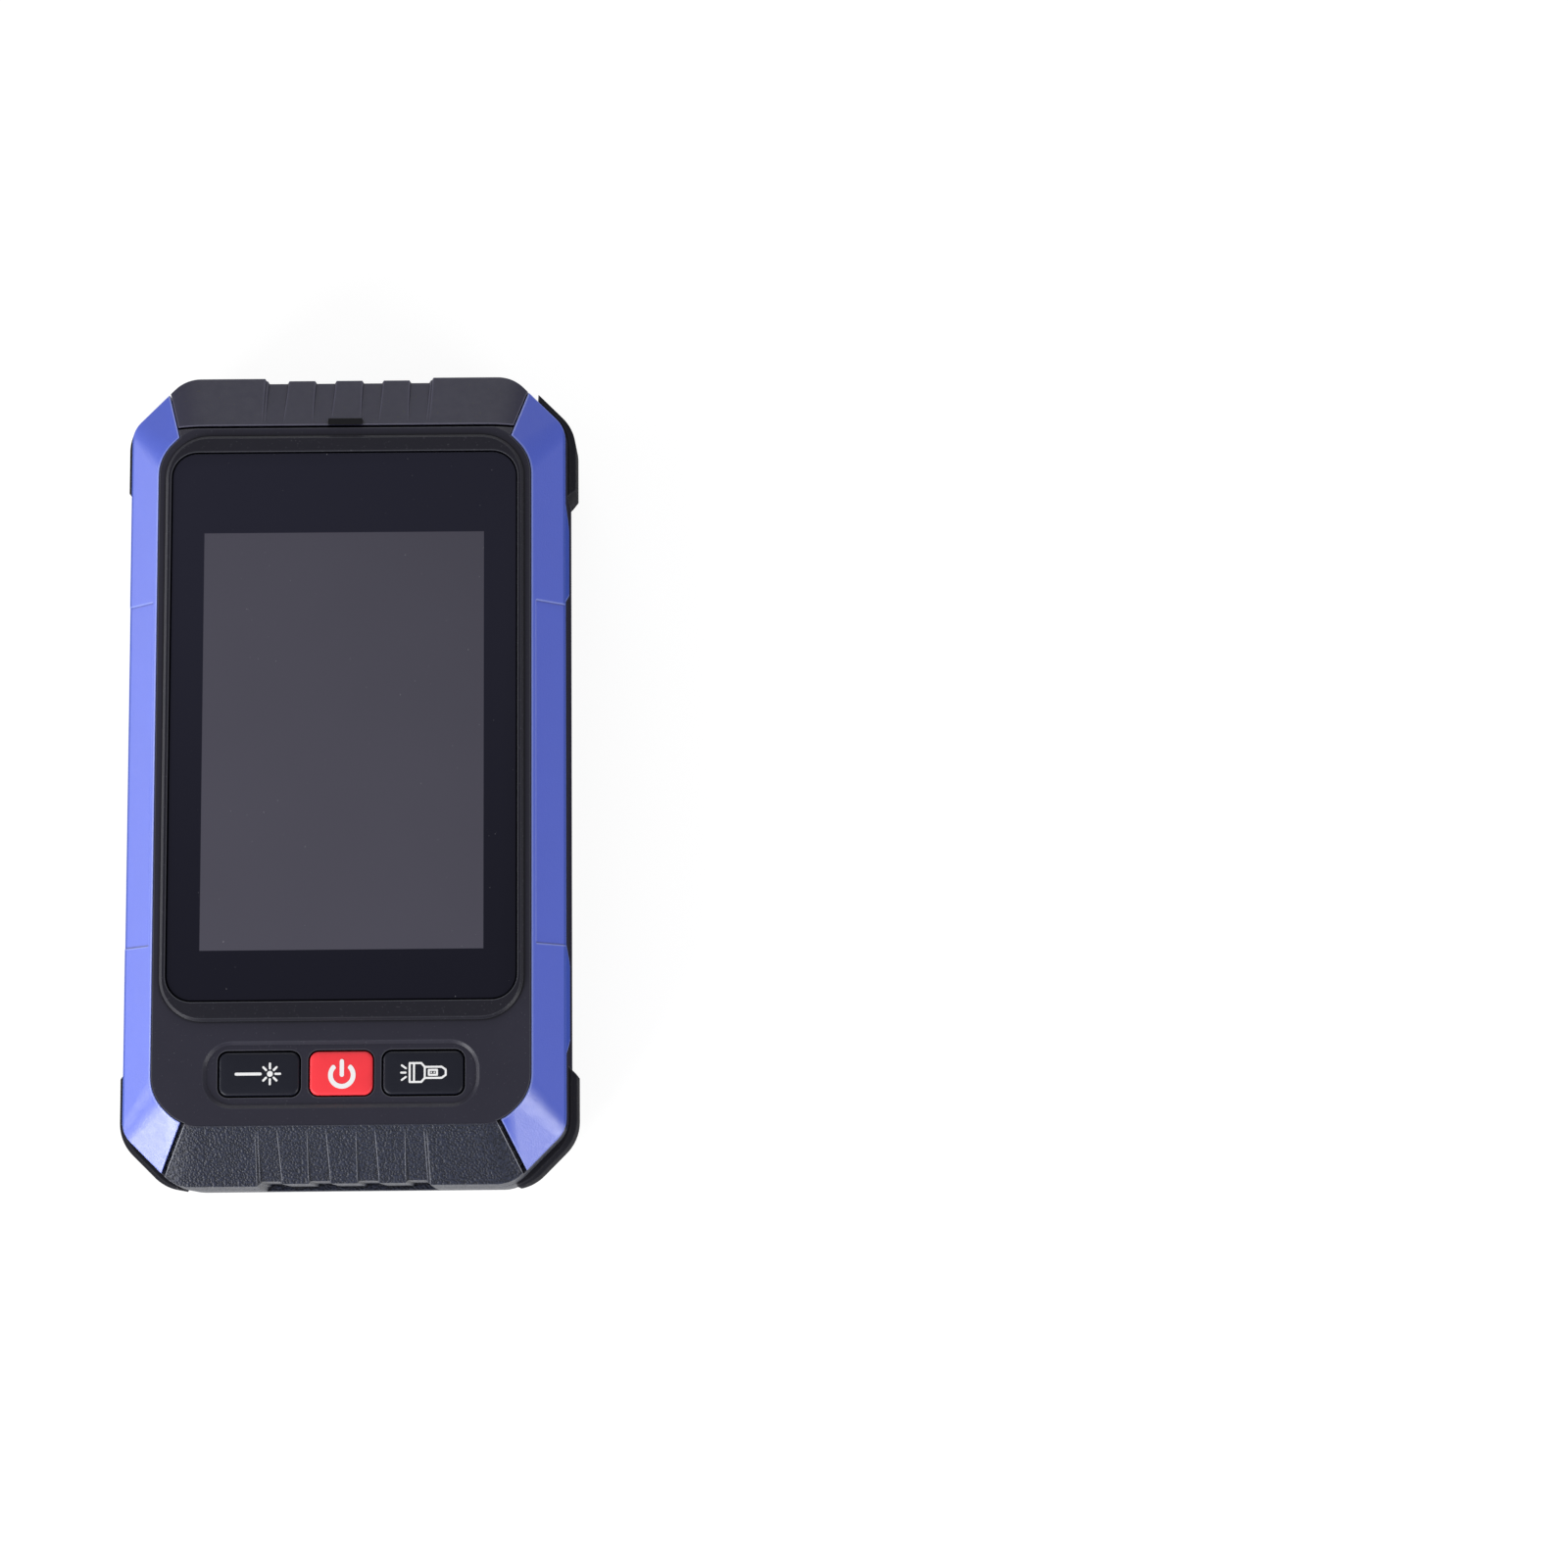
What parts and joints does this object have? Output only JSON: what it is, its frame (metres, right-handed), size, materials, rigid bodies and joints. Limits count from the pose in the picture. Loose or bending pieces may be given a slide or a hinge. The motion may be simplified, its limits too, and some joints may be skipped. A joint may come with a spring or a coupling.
{
  "type": "optical time domain reflectometer",
  "caption": "Handheld optical time domain reflectometer with touch screen, keys, blue-violet side trims and a flip-open cover over its fibre ports.",
  "frame": {"origin": "centre of the bottom of the bounding box, on the surface that the back rests on", "axes": "+X to the right of the keys, +Y towards the port end, +Z out of the screen"},
  "size_m": [0.08, 0.144, 0.029],
  "materials": {
    "black_housing": "matte",
    "black_bumper": "matte",
    "violet_trim": "satin",
    "screen_glass": "gloss",
    "display_grey": "satin",
    "black_key": "matte",
    "red_key": "satin",
    "grey_silicone": "matte",
    "black_foam": "matte",
    "bright_steel": "satin",
    "nickel_plate": "gloss",
    "white_ceramic": "gloss",
    "gold_can": "satin",
    "milled_aluminium": "satin",
    "board_green": "satin",
    "ribbon_amber": "satin",
    "white_plastic": "matte",
    "cell_sleeve": "satin",
    "clear_lens": "gloss",
    "port_plate": "matte"
  },
  "bodies": {
    "housing": {"front_shell": "black_housing", "rear_shell": "black_housing", "case_seal": "grey_silicone", "side_trim_left": "violet_trim", "side_trim_right": "violet_trim", "bumper_top_left": "black_bumper", "bumper_top_right": "black_bumper", "bumper_bottom_left": "black_bumper", "bumper_bottom_right": "black_bumper", "cover_hinge_pin": "bright_steel", "screen_glass": "screen_glass", "glass_adhesive": "black_foam", "display_module": "display_grey", "display_frame": "bright_steel", "keypad_mat": "grey_silicone", "key_switches": "black_foam", "key_board": "board_green", "keypad_ribbon": "ribbon_amber", "main_board": "board_green", "processor_shield": "bright_steel", "battery_connector": "white_plastic", "buzzer": "black_foam", "charging_socket": "bright_steel", "torch_led": "clear_lens", "port_panel": "port_plate", "otdr_adapter": "nickel_plate", "otdr_sleeve": "white_ceramic", "power_meter_adapter": "nickel_plate", "fault_locator_adapter": "nickel_plate", "power_detector": "gold_can", "red_laser": "gold_can", "optical_module": "milled_aluminium", "module_cover": "milled_aluminium", "fibre_reel": "white_plastic", "battery_cells": "cell_sleeve", "battery_holder": "black_foam", "board_screws": "bright_steel", "module_screws": "bright_steel", "case_screws": "bright_steel", "threaded_inserts": "gold_can"},
    "cover": {"port_cover": "black_housing"},
    "fault_locator_key_body": {"fault_locator_key": "black_key"},
    "power_key_body": {"power_key": "red_key"},
    "torch_key_body": {"torch_key": "black_key"}
  },
  "joints": [
    {"name": "cover_hinge", "type": "hinge", "parent": "housing", "child": "cover", "pos_m": [0, 0.0698, 0.0042], "axis": [-1, 0, 0], "range_deg": [0, 95]},
    {"name": "fault_locator_key_press", "type": "slide", "parent": "housing", "child": "fault_locator_key_body", "axis": [0, 0, -1], "range_m": [0, 0.0006], "stiffness_N_per_m": 600},
    {"name": "power_key_press", "type": "slide", "parent": "housing", "child": "power_key_body", "axis": [0, 0, -1], "range_m": [0, 0.0006], "stiffness_N_per_m": 600},
    {"name": "torch_key_press", "type": "slide", "parent": "housing", "child": "torch_key_body", "axis": [0, 0, -1], "range_m": [0, 0.0006], "stiffness_N_per_m": 600}
  ]
}
